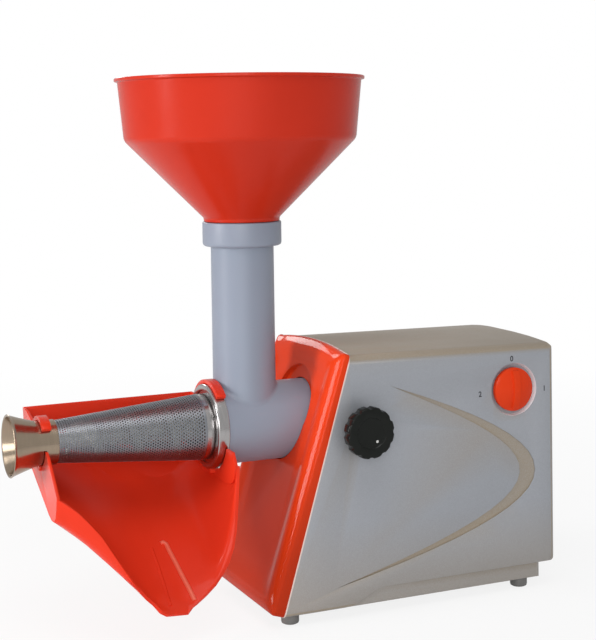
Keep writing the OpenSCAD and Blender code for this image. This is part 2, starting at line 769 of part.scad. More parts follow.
// Auger: a twisted flight round a core, straight in the barrel and tapering in the sieve
flight_seg = 12;
function sieve_r_at(x) = sieve_r1 + (sieve_r2 - sieve_r1) * (sieve_x1 - x) / sieve_l;
module flight_shape(r) {
    polygon(concat([for (a = [0:40:240]) core_r * [cos(a), sin(a)]],
        [for (a = [262:22:328]) r * [cos(a), sin(a)]]));
}

module auger() {
    l1 = chamber_back + barrel_front + flange_l - 3;
    l2 = sieve_l - 8;
    x1 = chamber_back - 2 - l1;
    r1 = sieve_r1 - sieve_t - auger_gap;
    r2 = sieve_r_at(x1 - l2) - sieve_t - auger_gap;
    taper = r2 / r1;
    tip = 12;
    color("ivory") {
        translate([x1, 0, 0]) rotate([0, 90, 0])
            linear_extrude(l1, twist = -360 * l1 / flight_pitch, slices = round(l1 / flight_pitch * flight_seg), $fn = 12)
                flight_shape(r1);
        translate([x1, 0, 0]) rotate([0, -90, 0]) mirror([1, 0, 0])
            linear_extrude(l2, twist = 360 * l2 / flight_pitch, scale = taper,
                slices = round(l2 / flight_pitch * flight_seg), $fn = 12) flight_shape(r1);
        rod(x1 - l2 - tip, tip + 1, core_r * taper - 1);
        rod(chamber_back - 2, hub_back - chamber_back + 2, shank_r);
        translate([hub_back, 0, 0]) rotate([0, 90, 0]) cylinder(h = tang_l, r = tang_r, $fn = 6);
    }
}

module output_shaft() {
    x0 = hub_back + 2;
    color("gainsboro") difference() {
        union() {
            rod(x0, out_x - x0, output_r);
            translate([out_x, 0, 0]) rotate([0, 90, 0]) cylinder(h = out_t, r = hex_out, $fn = 6);
            rod(out_x + out_t, plate_x2 + plate_t - out_x - out_t, journal_r);
        }
        translate([x0 - 1, 0, 0]) rotate([0, 90, 0])
            cylinder(h = tang_l + 0.3, r = tang_r + 0.12, $fn = 6);
    }
}

// Spur gears with involute flanks
pressure = 25;
backlash = 0.16;
function inv(a) = tan(a) * 180 / PI - a;
function tooth(z, m, k) =
    let (rp = z * m / 2, rb = rp * cos(pressure), ra = rp + 0.8 * m, rr = rp - 1.05 * m,
         half = 90 / z - backlash / 2 / rp * 180 / PI,
         lo = max(rb, rr), c = k * 360 / z,
         flank = [for (i = [0:4]) let (r = lo + (ra - lo) * i / 4,
             a = half + inv(pressure) - inv(acos(min(1, rb / r)))) [r, a]],
         root = [rr, half + inv(pressure) + (rr < rb ? 0 : -inv(acos(min(1, rb / lo))))])
    [for (p = concat([[root[0], -root[1]]], [for (q = flank) [q[0], -q[1]]],
        [for (i = [4:-1:0]) flank[i]], [root])) p[0] * [cos(c + p[1]), sin(c + p[1])]];

module gear(x, z, teeth, m, l, bore, phase) {
    translate([x, 0, z]) rotate([90, 0, 90]) linear_extrude(l) difference() {
        rotate(phase) polygon([for (k = [0:teeth - 1]) each tooth(teeth, m, k)]);
        rotate(90) circle(r = bore, $fn = 6);
    }
}

// Each large gear turns a gap, and each pinion a tooth, towards the other on the line between them
gap_down = 180 / gear_teeth - 90;
tooth_up = 90;
module output_gear() {
    color("whitesmoke") gear(out_x, 0, gear_teeth, module_2, out_t, hex_out, gap_down);
}

module idler_pinion() {
    color("darkgray") gear(out_x - 0.5, -idler_drop, pinion_teeth, module_2, out_t + 1, hex_idler, tooth_up);
}

module idler_gear() {
    color("whitesmoke") gear(idler_x, -idler_drop, gear_teeth, module_1, idler_t, hex_idler, gap_down);
}

module idler_shaft() {
    x0 = plate_x1;
    x1 = plate_x2 + plate_t;
    color("gainsboro") {
        rod(x0, out_x - 0.5 - x0, idler_shaft_r, -idler_drop);
        translate([out_x - 0.5, 0, -idler_drop]) rotate([0, 90, 0])
            cylinder(h = idler_x + idler_t - out_x + 0.5, r = hex_idler, $fn = 6);
        rod(idler_x + idler_t, x1 - idler_x - idler_t, idler_shaft_r, -idler_drop);
    }
}

hex_motor = 3.2;
module motor_pinion() {
    color("goldenrod") gear(idler_x - 1, motor_z, pinion_teeth, module_1, idler_t + 2, hex_motor, tooth_up);
}

module armature_shaft() {
    x1 = idler_x + idler_t + 1;
    color("gainsboro") {
        translate([idler_x - 1, 0, motor_z]) rotate([0, 90, 0])
            cylinder(h = idler_t + 2, r = hex_motor, $fn = 6);
        rod(x1, frame_x2 + frame_t + 5 - x1, arm_shaft_r, motor_z);
    }
}

module armature_core() {
    slots = 12;
    color("saddlebrown") along_x(stack_x) translate([0, motor_z]) linear_extrude(stack_l) difference() {
        circle(r = armature_r);
        circle(r = arm_shaft_r);
        for (i = [0:slots - 1]) rotate(i * 360 / slots) translate([armature_r - 6, -0.8]) square([7, 1.6]);
    }
}

module commutator() {
    color("peru") difference() {
        rod(stack_x + stack_l + 2, brush_l - 4, comm_r, motor_z);
        rod(stack_x + stack_l, brush_l, arm_shaft_r, motor_z);
    }
}

fan_blades = 11;
module cooling_fan() {
    x = stack_x + stack_l + brush_l + 2;
    color("whitesmoke") along_x(x) translate([0, motor_z]) {
        linear_extrude(1.5) difference() {
            circle(r = fan_r);
            circle(r = arm_shaft_r);
        }
        linear_extrude(7) {
            difference() {
                circle(r = 8);
                circle(r = arm_shaft_r);
            }
            for (i = [0:fan_blades - 1]) rotate(i * 360 / fan_blades)
                translate([7, -0.6]) square([fan_r - 8, 1.2]);
        }
    }
}

// Domed switch knob with an upright grip
module switch_knob() {
    skirt = 3.5;
    dome = 4.5;
    rise = (knob_r * knob_r + dome * dome) / (2 * dome);
    color("orangered") translate([switch_x, knob_base_y, switch_z]) rotate([90, 0, 0]) {
        rotate_extrude() polygon(concat([[0, 0], [knob_r, 0], [knob_r, skirt]],
            [for (i = [1:8]) let (r = knob_r * (1 - i / 8))
                [r, skirt + dome - rise + sqrt(rise * rise - r * r)]]));
        intersection() {
            translate([-3, -knob_r + 2, skirt]) cube([6, 2 * knob_r - 4, dome + 3]);
            translate([0, 0, skirt + dome + 2 - 40]) sphere(r = 40);
        }
    }
}

module switch_spindle() {
    y0 = block_y + 11;
    color("gainsboro") peg(switch_x, y0, switch_z, y0 - knob_base_y, spindle_r);
}

pad_seat = 2;
pad_y = -barrel_r + pad_seat - play;
pad_l = 6;
module clamp_pad() {
    color("goldenrod") peg(clamp_x, pad_y, 0, pad_l, pad_r);
}

knob_y = -half_w - insert_flange - 2.2;
module clamp_stud() {
    y0 = pad_y - pad_l - play;
    color("gainsboro") peg(clamp_x, y0, 0, y0 - knob_y, stud_r);
}

// Fluted hand knob of the clamp screw, with a collar towards the housing
module clamp_knob() {
    collar = clamp_l - 9.5;
    flute_r = 3;
    color("dimgray") translate([clamp_x, knob_y, 0]) rotate([90, 0, 0]) {
        cylinder(h = collar, r = clamp_r / 2);
        translate([0, 0, collar]) difference() {
            rotate_extrude() polygon(concat([[0, 0]], arc(clamp_r - 1.5, 1.5, 1.5, -90, 0, 4),
                arc(clamp_r - 2, clamp_l - collar - 2, 2, 0, 90, 5),
                [[clamp_r * 0.62, clamp_l - collar], [clamp_r * 0.58, clamp_l - collar - 1], [0, clamp_l - collar - 1]]));
            for (i = [0:clamp_flutes - 1])
                rotate(i * 360 / clamp_flutes) translate([clamp_r + 1.4, 0, -1])
                    cylinder(h = clamp_l + 2, r = flute_r);
        }
    }
}

placed() housing();
placed() front_bezel();
placed() seam_trim();
placed() base_pan();
placed() rubber_feet();
placed() base_screws();
placed() cord_inlet();
placed() switch_block();
placed() hub_socket();
placed() gear_plate_front();
placed() gear_plate_rear();
placed() gear_pillars();
placed() output_bushes();
placed() motor_stator();
placed() motor_frames();
placed() brush_holders();
placed() clamp_insert();
placed() press_body();
placed() shaft_seal();
placed() sieve_flange();
placed() sieve_cone();
placed() waste_mouth();
placed() splash_tray();
placed() hopper();
placed() auger();
placed() output_shaft();
placed() output_gear();
placed() idler_shaft();
placed() idler_gear();
placed() idler_pinion();
placed() armature_shaft();
placed() armature_core();
placed() commutator();
placed() cooling_fan();
placed() motor_pinion();
placed() switch_knob();
placed() switch_spindle();
placed() clamp_pad();
placed() clamp_stud();
placed() clamp_knob();
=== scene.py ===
"""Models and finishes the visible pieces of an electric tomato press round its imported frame."""

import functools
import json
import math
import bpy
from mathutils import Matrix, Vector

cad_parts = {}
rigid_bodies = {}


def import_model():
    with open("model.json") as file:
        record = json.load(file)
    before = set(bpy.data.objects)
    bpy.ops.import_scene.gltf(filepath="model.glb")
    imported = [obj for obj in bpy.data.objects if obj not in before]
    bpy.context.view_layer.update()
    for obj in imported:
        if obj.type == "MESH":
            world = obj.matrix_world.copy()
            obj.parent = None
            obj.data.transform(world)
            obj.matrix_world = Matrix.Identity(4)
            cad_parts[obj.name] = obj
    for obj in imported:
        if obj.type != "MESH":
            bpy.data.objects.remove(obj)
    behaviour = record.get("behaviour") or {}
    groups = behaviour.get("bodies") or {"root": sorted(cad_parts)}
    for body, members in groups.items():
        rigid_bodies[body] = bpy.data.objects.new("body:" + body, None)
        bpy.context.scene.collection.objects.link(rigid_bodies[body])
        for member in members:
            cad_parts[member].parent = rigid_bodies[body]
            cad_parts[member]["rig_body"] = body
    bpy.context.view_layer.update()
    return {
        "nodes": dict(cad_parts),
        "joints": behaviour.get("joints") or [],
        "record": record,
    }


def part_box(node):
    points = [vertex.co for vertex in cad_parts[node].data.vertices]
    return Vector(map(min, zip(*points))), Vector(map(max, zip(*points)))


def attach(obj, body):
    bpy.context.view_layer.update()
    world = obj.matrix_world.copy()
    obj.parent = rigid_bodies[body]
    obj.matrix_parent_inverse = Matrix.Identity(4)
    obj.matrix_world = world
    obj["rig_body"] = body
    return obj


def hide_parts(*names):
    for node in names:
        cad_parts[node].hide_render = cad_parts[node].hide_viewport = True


bl_info = {
    "name": "Tomato press",
    "version": (1, 0, 0),
    "blender": (4, 5, 0),
    "location": "3D View > Sidebar > Press",
    "description": "Models and finishes an electric tomato press",
    "category": "Add Mesh",
}

import bmesh
import bpy
from bpy.props import FloatProperty, FloatVectorProperty, IntProperty, PointerProperty
from mathutils import Matrix, Vector
from mathutils.bvhtree import BVHTree

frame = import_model()

JOINTS = {joint["name"]: joint for joint in frame["joints"]}
# PRESS is where the neck's axis meets the press axis, and lengths are counted from there
PRESS = Vector(JOINTS["auger_spin"]["pos_m"])
SWITCH = Vector(JOINTS["switch_turn"]["pos_m"])
CLAMP = Vector(JOINTS["clamp_turn"]["pos_m"])
BACK = Vector((1, 0, 0))
FRONT = Vector((-1, 0, 0))
NEAR = Vector((0, -1, 0))
UP = Vector((0, 0, 1))

# The leaning seam between the bezel and the housing, and where it crosses the press axis
LEAN = math.radians(16.7)
SEAM = Vector((0.0464, 0, 0))
FACE_UP = Vector((math.sin(LEAN), 0, math.cos(LEAN)))
FACE_OUT = Vector((-math.cos(LEAN), 0, math.sin(LEAN)))


@functools.lru_cache(None)
def low(node):
    """Lowest corner of a CAD node, counted from PRESS."""
    return Vector(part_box(node)[0]) - PRESS


@functools.lru_cache(None)
def high(node):
    """Highest corner of a CAD node, counted from PRESS."""
    return Vector(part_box(node)[1]) - PRESS


class HopperSizes(bpy.types.PropertyGroup):
    rim_radius: FloatProperty(
        name="Rim radius", description="Radius at the rim's lip",
        default=high("hopper").y, unit="LENGTH", precision=4)
    fold_radius: FloatProperty(
        name="Fold radius", description="Radius where the bowl turns into the cone",
        default=0.092, unit="LENGTH", precision=4)
    foot_radius: FloatProperty(
        name="Foot radius", description="Radius at the bottom of the cone",
        default=0.0302, unit="LENGTH", precision=4)
    bowl_height: FloatProperty(
        name="Bowl height", description="Height of the upright part",
        default=0.049, unit="LENGTH", precision=4)
    wall: FloatProperty(
        name="Wall", description="Thickness of the wall", default=0.002, unit="LENGTH", precision=4)


class BodySizes(bpy.types.PropertyGroup):
    barrel_radius: FloatProperty(
        name="Barrel radius", description="Outer radius of the barrel",
        default=-low("press_body").z, unit="LENGTH", precision=4)
    chamber_radius: FloatProperty(
        name="Chamber radius", description="Inner radius of the barrel",
        default=0.026, unit="LENGTH", precision=4)
    neck_radius: FloatProperty(
        name="Neck radius", description="Outer radius of the neck",
        default=0.025, unit="LENGTH", precision=4)
    bore_radius: FloatProperty(
        name="Bore radius", description="Inner radius of the neck",
        default=0.0215, unit="LENGTH", precision=4)
    collar_radius: FloatProperty(
        name="Collar radius", description="Outer radius of the collar",
        default=high("press_body").y, unit="LENGTH", precision=4)
    collar_height: FloatProperty(
        name="Collar height", description="Height of the collar",
        default=0.0192, unit="LENGTH", precision=4)
    fillet: FloatProperty(
        name="Fillet", description="Radius of the blend between neck and barrel",
        default=0.0028, unit="LENGTH", precision=4)


class BezelSizes(bpy.types.PropertyGroup):
    depth: FloatProperty(
        name="Depth", description="Thickness over the seam at the press axis", default=0.0115,
        unit="LENGTH", precision=4)
    wedge: FloatProperty(
        name="Wedge", description="Lean of the front against the seam", default=math.radians(1.4),
        unit="ROTATION")
    facet: FloatProperty(
        name="Facet", description="Width of the slanted facet round the front", default=0.0072,
        unit="LENGTH", precision=4)
    facet_rise: FloatProperty(
        name="Facet rise", description="Height of the slanted facet", default=0.0043,
        unit="LENGTH", precision=4)
    slope: FloatProperty(
        name="Slope", description="Width of the slope down into the dish", default=0.012,
        unit="LENGTH", precision=4)
    dish: FloatProperty(
        name="Dish", description="Depth of the dish", default=0.002, unit="LENGTH", precision=4)
    hole: FloatProperty(
        name="Hole", description="Radius of the hole round the barrel", default=0.0319,
        unit="LENGTH", precision=4)
    recess: FloatProperty(
        name="Recess", description="Radius of the crescent recess above the barrel", default=0.034,
        unit="LENGTH", precision=4)
    recess_rise: FloatProperty(
        name="Recess rise", description="Height of the recess's centre over the barrel's",
        default=0.0085, unit="LENGTH", precision=4)
    recess_depth: FloatProperty(
        name="Recess depth", description="Depth of the recess in the dish", default=0.007,
        unit="LENGTH", precision=4)


class SieveSizes(bpy.types.PropertyGroup):
    wide_radius: FloatProperty(
        name="Wide radius", description="Radius at the flange",
        default=high("sieve_cone").y, unit="LENGTH", precision=4)
    narrow_radius: FloatProperty(
        name="Narrow radius", description="Radius at the waste mouth",
        default=0.0157, unit="LENGTH", precision=4)
    wall: FloatProperty(
        name="Wall", description="Thickness of the sheet", default=0.0007, unit="LENGTH", precision=5)
    rings: IntProperty(name="Rings", description="Rings of holes", default=63)
    around: IntProperty(name="Around", description="Holes in one ring", default=60)
    hole: FloatProperty(
        name="Hole share", description="Radius of a hole over the pitch of the holes", default=0.33)


class PaintColours(bpy.types.PropertyGroup):
    gloss_red: FloatVectorProperty(
        name="Gloss red", description="Bezel and switch", subtype="COLOR", default=(0.74, 0.050, 0.010))
    satin_red: FloatVectorProperty(
        name="Satin red", description="Hopper and tray", subtype="COLOR", default=(0.55, 0.028, 0.010))
    silver: FloatVectorProperty(
        name="Silver", description="Housing", subtype="COLOR", default=(0.33, 0.345, 0.375))
    # Warm tone: a painted reflection on the housing's top, and the groove's own tone.
    champagne: FloatVectorProperty(
        name="Champagne", description="Warm tone of the housing's top and groove", subtype="COLOR",
        default=(0.33, 0.27, 0.195))
    blue_grey: FloatVectorProperty(
        name="Blue grey", description="Press body", subtype="COLOR", default=(0.268, 0.303, 0.375))
    knob_black: FloatVectorProperty(
        name="Knob black", description="Clamp knob", subtype="COLOR", default=(0.006, 0.007, 0.006))


class StageSizes(bpy.types.PropertyGroup):
    key: FloatProperty(name="Key light", description="Power of the key light", default=16.0, unit="POWER")
    top: FloatProperty(name="Top light", description="Power of the top light", default=9.0, unit="POWER")
    fill: FloatProperty(
        name="Fill light", description="Power of the fill light", default=10.0, unit="POWER")
    rim: FloatProperty(name="Rim light", description="Power of the rim light", default=6.0, unit="POWER")
    world: FloatProperty(name="World", description="Strength of the world's light", default=0.38)


class Field:
    """A number over a surface, on which Python's arithmetic adds Math nodes."""

    def __init__(self, finish, socket):
        self.finish = finish
        self.socket = socket

    def math(self, operation, *others):
        return self.finish.field("ShaderNodeMath", {"operation": operation}, self, *others)

    def __add__(self, other):
        return self.math("ADD", other)

    def __mul__(self, other):
        return self.math("MULTIPLY", other)

    __radd__ = __add__
    __rmul__ = __mul__


class Finish:
    """A material under construction, with one principled shader."""

    def __init__(self, name, **sockets):
        self.material = bpy.data.materials.new(name)
        self.material.use_nodes = True
        self.tree = self.material.node_tree
        self.shader = self.tree.nodes["Principled BSDF"]
        for socket, value in sockets.items():
            self.feed(self.shader.inputs[socket.replace("_", " ")], value)

    def feed(self, socket, value):
        if isinstance(value, Field):
            value = value.socket
        if isinstance(value, bpy.types.NodeSocket):
            self.tree.links.new(value, socket)
        elif hasattr(value, "__len__"):
            socket.default_value = (*value, 1.0)[:len(socket.default_value)]
        else:
            socket.default_value = value

    def node(self, kind, settings, *values, **named):
        made = self.tree.nodes.new(kind)
        for key, value in settings.items():
            setattr(made, key, value)
        for socket, value in zip(made.inputs, values):
            self.feed(socket, value)
        for key, value in named.items():
            self.feed(made.inputs[key.replace("_", " ")], value)
        return made

    def field(self, kind, settings, *values, **named):
        return Field(self, self.node(kind, settings, *values, **named).outputs[0])

    def place(self):
        return self.node("ShaderNodeTexCoord", {}).outputs["Object"]

    def upward(self, vector):
        """How far a vector reaches up."""
        return Field(self, self.node("ShaderNodeSeparateXYZ", {}, Vector=vector).outputs["Z"])

    def noise(self, scale, detail=3.0, stretch=(1, 1, 1)):
        where = self.node("ShaderNodeMapping", {}, Vector=self.place(), Scale=stretch).outputs[0]
        return self.field("ShaderNodeTexNoise", {}, Vector=where, Scale=scale, Detail=detail)

    def ramp(self, value, start, end):
        """Clamps and stretches a field from start...end to 0...1."""
        return self.field("ShaderNodeMapRange", {"clamp": True}, value, start, end, 0.0, 1.0)

    def blend(self, share, first, second):
        made = self.node("ShaderNodeMix", {"data_type": "RGBA"})
        self.feed(made.inputs[0], share)
        self.feed(made.inputs[6], first)
        self.feed(made.inputs[7], second)
        return made.outputs[2]

    def paint(self, value):
        self.feed(self.shader.inputs["Base Color"], value)

    def mottle(self, share, colour, first, second):
        """Varies a colour between two shades of it."""
        self.paint(self.blend(share, shade(colour, first), shade(colour, second)))

    def rough(self, value):
        self.feed(self.shader.inputs["Roughness"], value)

    def bump(self, height, distance):
        made = self.node("ShaderNodeBump", {}, Strength=1.0, Distance=distance, Height=height)
        self.feed(self.shader.inputs["Normal"], made.outputs[0])


def shade(colour, share):
    return tuple(channel * share for channel in colour)


def gloss_red(colours):
    """Glossy red with painted shade that darkens it towards the foot."""
    finish = Finish("gloss red", Coat_Weight=0.12, Coat_Roughness=0.02, Specular_IOR_Level=0.03)
    # Painted shade: the base colour darkens towards the foot by height, with a little random tone from
    # noise.
    depth = 0.85 * finish.ramp(finish.upward(finish.place()), 0.17, 0.05) + 0.15 * finish.noise(9.0, 2.0)
    finish.mottle(depth, colours.gloss_red, 1.03, 0.62)
    finish.rough(0.06 + 0.05 * finish.noise(60.0))
    finish.bump(finish.noise(35.0, 1.0), 0.00005)
    return finish.material


def satin_red(colours, name="satin red", share=1.0):
    finish = Finish(name, Specular_IOR_Level=0.15)
    finish.mottle(finish.noise(12.0, 3.0), colours.satin_red, 0.92 * share, 1.07 * share)
    finish.rough(0.17 + 0.1 * finish.noise(45.0))
    finish.bump(finish.noise(700.0, 2.0), 0.00003)
    return finish.material


def silver_paint(colours, name="silver paint", warmth=0.0):
    """Metallic paint, warmer on upward-facing faces as a painted reflection, and warmer towards the foot.
    """
    finish = Finish(name, Metallic=0.25, Specular_IOR_Level=0.4)
    upward = finish.upward(finish.node("ShaderNodeNewGeometry", {}).outputs["Normal"])
    height = finish.upward(finish.place())
    flake = finish.noise(3200.0, 1.0)
    # Painted reflection: faces that look up take the warm tone; the foot and the warmth argument add warm
    # tone as well.
    warm = finish.ramp(upward, 0.03, 0.5) + finish.ramp(height, 0.075, 0.0) * 0.7 + warmth
    base = finish.blend(finish.ramp(warm, 0.0, 1.0), colours.silver, colours.champagne)
    finish.paint(finish.blend(finish.ramp(flake, 0.42, 0.72) * 0.22, base, shade(colours.silver, 1.9)))
    finish.rough(0.33 + 0.12 * finish.noise(30.0))
    finish.bump(flake, 0.00002)
    return finish.material


def blue_grey(colours):
    finish = Finish("blue grey plastic", Specular_IOR_Level=0.4)
    finish.mottle(finish.noise(14.0, 2.0), colours.blue_grey, 0.95, 1.05)
    finish.rough(0.33 + 0.1 * finish.noise(50.0))
    finish.bump(finish.noise(900.0, 2.0), 0.00003)
    return finish.material


def knob_black(colours):
    finish = Finish("knob black", Specular_IOR_Level=0.16)
    finish.mottle(finish.noise(80.0), colours.knob_black, 1.0, 1.6)
    finish.rough(0.13 + 0.12 * finish.noise(120.0))
    finish.bump(finish.noise(900.0, 2.0), 0.00003)
    return finish.material


def turned_steel(name, dark, light, roughness):
    """Stainless steel with fine lines round the press axis."""
    finish = Finish(name, Metallic=1.0)
    lines = finish.noise(90.0, 3.0, (30, 1, 1))
    finish.paint(finish.blend(lines, dark, light))
    finish.rough(roughness + 0.16 * lines)
    finish.bump(lines, 0.00003)
    return finish.material


def plain_metal(name, colour, roughness):
    finish = Finish(name, Metallic=1.0)
    grain = finish.noise(260.0, 3.0)
    finish.mottle(grain, colour, 0.85, 1.1)
    finish.rough(roughness + 0.15 * grain)
    finish.bump(grain, 0.00004)
    return finish.material


def plain_plastic(name, colour, roughness):
    finish = Finish(name)
    grain = finish.noise(180.0, 2.0)
    finish.mottle(grain, colour, 0.92, 1.06)
    finish.rough(roughness + 0.12 * grain)
    finish.bump(finish.noise(1100.0, 2.0), 0.00004)
    return finish.material


def ink(name, colour):
    finish = Finish(name)
    finish.mottle(finish.noise(500.0), colour, 1.0, 1.3)
    finish.rough(0.4 + 0.1 * finish.noise(300.0))
    return finish.material


FINISHES = {}


def make_finishes(colours):
    """Makes every material of the press, under the record's slot or the name of its piece."""
    FINISHES.update({
        "red_gloss": gloss_red(colours),
        "red_satin": satin_red(colours),
        # Painted light: the tray takes a brighter copy of the hopper's satin red.
        "tray_red_painted_light": satin_red(colours, "tray red", 1.4),
        # Painted highlight: a pale pink red on the gutter's right bead stands in for its bright edge.
        "bead_red_painted_highlight": plain_plastic("bead red painted highlight", (0.86, 0.15, 0.09), 0.25),
        "silver_plastic": silver_paint(colours),
        "groove": silver_paint(colours, "groove paint", 0.85),
        "grey_plastic": blue_grey(colours),
        "black_plastic": knob_black(colours),
        "steel": turned_steel("turned steel", (0.34, 0.33, 0.33), (0.50, 0.485, 0.48), 0.13),
        "sieve_steel": turned_steel("sieve steel", (0.18, 0.19, 0.21), (0.30, 0.31, 0.335), 0.26),
        # Painted reflection: the outlet's steel is tinted warm for the red tray it reflects.
        "mouth_steel_painted_reflection": turned_steel("outlet steel painted reflection", (0.30, 0.235, 0.17), (0.43, 0.345, 0.26), 0.13),
        # Silver of the switch's dish, made bright as a painted highlight round the switch.
        "dish": plain_plastic("silver paint with painted highlight", (0.86, 0.87, 0.9), 0.12),
        # Painted highlight: the pale trim stands in for the bright line along the bezel's edge.
        "pale_trim": plain_plastic("pale trim", (0.80, 0.66, 0.60), 0.35),
        "white_plastic": plain_plastic("natural nylon", (0.72, 0.70, 0.62), 0.4),
        "zinc_steel": plain_metal("zinc plate", (0.55, 0.56, 0.58), 0.3),
        "brass": plain_metal("machined brass", (0.62, 0.42, 0.16), 0.25),
        "copper": plain_metal("copper", (0.62, 0.28, 0.14), 0.3),
        "lamination": plain_metal("laminations", (0.16, 0.16, 0.17), 0.45),
        "rubber": plain_plastic("grey rubber", (0.19, 0.186, 0.18), 0.4),
        "ink": ink("dark print", (0.012, 0.012, 0.014)),
        "white_mark": ink("white print", (0.5, 0.5, 0.48)),
    })


def rounded(corners, closed=True, steps=5):
    """Rounds a path of (x, y, fillet) corners into a smooth list of points."""
    points = []
    count = len(corners)
    for i, (x, y, fillet) in enumerate(corners):
        here = Vector((x, y))
        if not fillet or (not closed and i in (0, count - 1)):
            points.append(here)
            continue
        before = Vector(corners[i - 1][:2]) - here
        after = Vector(corners[(i + 1) % count][:2]) - here
        under_half = 0.48
        reach = min(fillet, before.length * under_half, after.length * under_half)
        start = here + before.normalized() * reach
        end = here + after.normalized() * reach
        for k in range(steps + 1):
            t = k / steps
            points.append(start * (1 - t) ** 2 + here * 2 * t * (1 - t) + end * t * t)
    return points


def lathe(bm, path, centre, axis, closed=True, steps=128):
    """Spins a path of (radius, distance along the axis) points all the way round an axis."""
    side = axis.orthogonal().normalized()
    verts = [bm.verts.new(centre + side * point[0] + axis * point[1]) for point in path]
    pairs = list(zip(verts, verts[1:]))
    if closed:
        pairs.append((verts[-1], verts[0]))
    edges = [bm.edges.new(pair) for pair in pairs]
    bmesh.ops.spin(
        bm, geom=verts + edges, cent=centre, axis=axis, angle=math.tau, steps=steps, use_merge=True)
    bmesh.ops.remove_doubles(bm, verts=bm.verts, dist=1e-6)


def to_object(bm, name):
    mesh = bpy.data.meshes.new(name)
    bm.to_mesh(mesh)
    bm.free()
    made = bpy.data.objects.new(name, mesh)
    bpy.context.scene.collection.objects.link(made)
    return made


def finish_piece(piece, body, slot, replaced=(), sharp=40, finish=None):
    """Shades a piece, gives it its slot's finish or another one, and sets it on its body."""
    piece.data.shade_smooth()
    piece.data.set_sharp_from_angle(angle=math.radians(sharp))
    piece.data.materials.clear()
    piece.data.materials.append(FINISHES[finish or slot])
    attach(piece, body)
    if replaced:
        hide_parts(*replaced)


def outward(bm):
    bmesh.ops.recalc_face_normals(bm, faces=bm.faces)


def edges_of(geometry):
    return [g for g in geometry if isinstance(g, bmesh.types.BMEdge)]


def add_mesh(bm, other):
    """Adds another bmesh's faces to this one."""
    mesh = bpy.data.meshes.new("added")
    other.to_mesh(mesh)
    other.free()
    bm.from_mesh(mesh)
    bpy.data.meshes.remove(mesh)


def skin(node, name, width, angle):
    """A copy of a CAD node with its sharp edges rounded over."""
    bm = bmesh.new()
    bm.from_mesh(frame["nodes"][node].data)
    bmesh.ops.remove_doubles(bm, verts=bm.verts, dist=2e-6)
    bmesh.ops.dissolve_degenerate(bm, edges=bm.edges, dist=1e-6)
    bmesh.ops.dissolve_limit(
        bm, angle_limit=math.radians(0.5), verts=bm.verts, edges=bm.edges, use_dissolve_boundaries=False)
    piece = to_object(bm, name)
    bevel = piece.modifiers.new("rounding", "BEVEL")
    bevel.width = width
    bevel.segments = 2
    bevel.limit_method = "ANGLE"
    bevel.angle_limit = math.radians(angle)
    bevel.harden_normals = True
    return piece


def final_mesh(piece):
    """The mesh that an object's modifiers or its curve make."""
    graph = bpy.context.evaluated_depsgraph_get()
    return bpy.data.meshes.new_from_object(piece.evaluated_get(graph))


def curve_mesh(curve):
    """The mesh that a curve or a text makes."""
    made = bpy.data.objects.new(curve.name, curve)
    bpy.context.scene.collection.objects.link(made)
    mesh = final_mesh(made)
    bpy.data.objects.remove(made)
    return mesh


def apply_modifiers(piece):
    mesh = final_mesh(piece)
    piece.modifiers.clear()
    piece.data = mesh


def rod(radius, depth, matrix):
    """A round rod about its own Z axis, moved by a matrix."""
    bm = bmesh.new()
    bmesh.ops.create_cone(
        bm, cap_ends=True, segments=96, radius1=radius, radius2=radius, depth=depth, matrix=matrix)
    return bm


def subtract(piece, bm, solver):
    """Cuts a bmesh away from a piece."""
    cutter = to_object(bm, "cutter")
    cut = piece.modifiers.new("cut", "BOOLEAN")
    cut.operation = "DIFFERENCE"
    cut.solver = solver
    cut.object = cutter
    apply_modifiers(piece)
    bpy.data.objects.remove(cutter)


class PRESS_OT_hopper(bpy.types.Operator):
    """Turns the hopper with its lip, fold and spigot"""
    bl_idname = "press.hopper"
    bl_label = "Hopper"

    def execute(self, context):
        sizes = context.scene.press_hopper
        top = high("hopper").z
        seat = high("press_body").z
        fold = top - sizes.bowl_height
        spigot_end = low("hopper").z
        bore = 0.0192
        spigot = 0.0212
        plug = 0.0257
        plug_end = seat - 0.0087
        bowl_top = sizes.rim_radius - 0.0025
        path = rounded([
            (bore, spigot_end, 0.0006), (spigot, spigot_end, 0.0006), (spigot, plug_end, 0),
            (plug, plug_end, 0.0003), (plug, seat + 0.0003, 0),
            (sizes.foot_radius, seat + 0.0003, 0.0008), (sizes.foot_radius, seat + 0.003, 0.002),
            (sizes.fold_radius, fold, 0.003), (bowl_top, top - 0.003, 0.001),
            (sizes.rim_radius, top - 0.0026, 0.0007), (sizes.rim_radius, top, 0.0009),
            (bowl_top - sizes.wall, top, 0.001), (sizes.fold_radius - sizes.wall, fold + 0.0006, 0.003),
            (sizes.foot_radius - sizes.wall - 0.001, seat + 0.004, 0.003), (bore, seat - 0.001, 0.002)])
        bm = bmesh.new()
        lathe(bm, path, PRESS, UP, steps=192)
        outward(bm)
        finish_piece(to_object(bm, "hopper_bowl"), "hopper", "red_satin", ["hopper"], 60)
        return {"FINISHED"}


